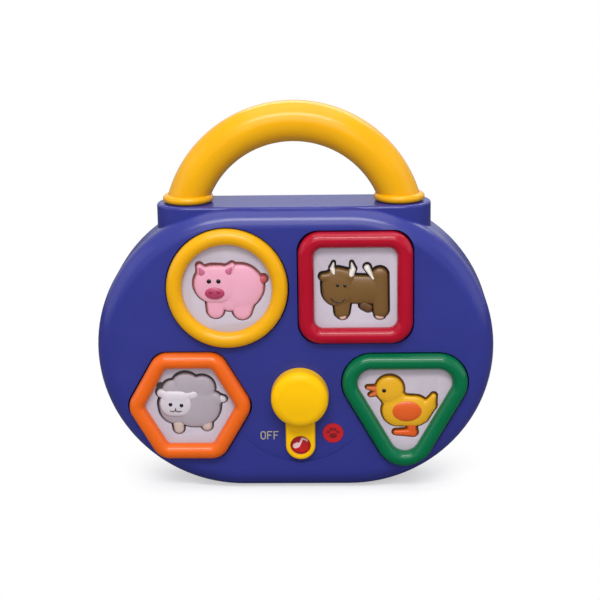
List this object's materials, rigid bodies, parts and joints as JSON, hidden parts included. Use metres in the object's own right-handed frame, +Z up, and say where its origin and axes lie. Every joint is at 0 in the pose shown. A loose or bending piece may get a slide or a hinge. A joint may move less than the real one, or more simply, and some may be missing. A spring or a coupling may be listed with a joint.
{
  "type": "musical shape sorter",
  "caption": "Handbag-shaped toddler sound toy with an arched carrying handle, lift-out picture blocks that press keys in shaped pockets, and a swinging mode lever.",
  "frame": {"origin": "middle of the base, under the middle of the overall depth", "axes": "+X to the right seen from the front, +Y from the front to the rear, +Z up"},
  "size_m": [0.24, 0.067, 0.2358],
  "materials": {
    "blue_shell": "smooth glossy moulded ABS",
    "yellow_plastic": "smooth glossy moulded ABS",
    "red_plastic": "smooth glossy moulded ABS",
    "orange_plastic": "smooth glossy moulded ABS",
    "green_plastic": "smooth glossy moulded ABS",
    "panel_white": "satin white plastic",
    "white_plastic": "natural white plastic",
    "pig_pink": "satin pink plastic with painted details",
    "cow_brown": "satin brown plastic with painted details",
    "sheep_grey": "satin grey plastic with painted details",
    "duck_yellow": "satin yellow plastic with painted details",
    "badge_red": "printed red disc",
    "dome_rubber": "moulded silicone rubber",
    "steel": "zinc plated steel",
    "bronze": "sprung bronze strip",
    "board_green": "solder resist on laminate",
    "black_resin": "black potting resin and ferrite",
    "cone_paper": "pressed paper cone",
    "cell_wrap": "plain wrapped battery cell",
    "wire_red": "insulated wire",
    "wire_black": "insulated wire"
  },
  "bodies": {
    "housing": {"front_shell": "blue_shell", "rear_shell": "blue_shell", "pocket_floor": "blue_shell", "handle": "yellow_plastic", "shell_screws": "steel", "detent_spring": "steel", "board_screws": "steel", "speaker_frame": "steel", "speaker_screws": "steel", "cell_springs": "steel", "cell_plates": "steel", "note_badge": "badge_red", "sound_badge": "badge_red", "main_board": "board_green", "sound_chip": "black_resin", "capacitor": "black_resin", "speaker_magnet": "black_resin", "speaker_cone": "cone_paper", "aa_cells": "cell_wrap", "battery_leads": "wire_red", "speaker_leads": "wire_black", "circle_dome": "dome_rubber", "square_dome": "dome_rubber", "hexagon_dome": "dome_rubber", "triangle_dome": "dome_rubber"},
    "circle_block": {"circle_rim": "yellow_plastic", "circle_base": "yellow_plastic", "circle_panel": "panel_white", "pig_relief": "pig_pink"},
    "circle_key": {"circle_plunger": "white_plastic"},
    "square_block": {"square_rim": "red_plastic", "square_base": "red_plastic", "square_panel": "panel_white", "cow_relief": "cow_brown"},
    "square_key": {"square_plunger": "white_plastic"},
    "hexagon_block": {"hexagon_rim": "orange_plastic", "hexagon_base": "orange_plastic", "hexagon_panel": "panel_white", "sheep_relief": "sheep_grey"},
    "hexagon_key": {"hexagon_plunger": "white_plastic"},
    "triangle_block": {"triangle_rim": "green_plastic", "triangle_base": "green_plastic", "triangle_panel": "panel_white", "duck_relief": "duck_yellow"},
    "triangle_key": {"triangle_plunger": "white_plastic"},
    "lever": {"mode_lever": "yellow_plastic", "switch_rotor": "white_plastic", "switch_wiper": "bronze", "lever_screw": "steel"},
    "door": {"battery_door": "blue_shell", "door_screws": "steel"}
  },
  "joints": [
    {"name": "mode_turn", "type": "hinge", "parent": "housing", "child": "lever", "pos_m": [0.0029, 0, 0.0606], "axis": [0, -1, 0], "range_deg": [-39, 39], "deforming": ["detent_spring"]},
    {"name": "door_pull", "type": "slide", "parent": "housing", "child": "door", "axis": [0, 1, 0], "range_m": [0, 0.04]},
    {"name": "circle_press", "type": "slide", "parent": "housing", "child": "circle_key", "axis": [0, 1, 0], "range_m": [0, 0.0025], "stiffness_N_per_m": 500, "springref_m": -0.002, "deforming": ["circle_dome"]},
    {"name": "circle_lift", "type": "slide", "parent": "circle_key", "child": "circle_block", "axis": [0, -1, 0], "range_m": [0, 0.06]},
    {"name": "square_press", "type": "slide", "parent": "housing", "child": "square_key", "axis": [0, 1, 0], "range_m": [0, 0.0025], "stiffness_N_per_m": 500, "springref_m": -0.002, "deforming": ["square_dome"]},
    {"name": "square_lift", "type": "slide", "parent": "square_key", "child": "square_block", "axis": [0, -1, 0], "range_m": [0, 0.06]},
    {"name": "hexagon_press", "type": "slide", "parent": "housing", "child": "hexagon_key", "axis": [0, 1, 0], "range_m": [0, 0.0025], "stiffness_N_per_m": 500, "springref_m": -0.002, "deforming": ["hexagon_dome"]},
    {"name": "hexagon_lift", "type": "slide", "parent": "hexagon_key", "child": "hexagon_block", "axis": [0, -1, 0], "range_m": [0, 0.06]},
    {"name": "triangle_press", "type": "slide", "parent": "housing", "child": "triangle_key", "axis": [0, 1, 0], "range_m": [0, 0.0025], "stiffness_N_per_m": 500, "springref_m": -0.002, "deforming": ["triangle_dome"]},
    {"name": "triangle_lift", "type": "slide", "parent": "triangle_key", "child": "triangle_block", "axis": [0, -1, 0], "range_m": [0, 0.06]}
  ]
}
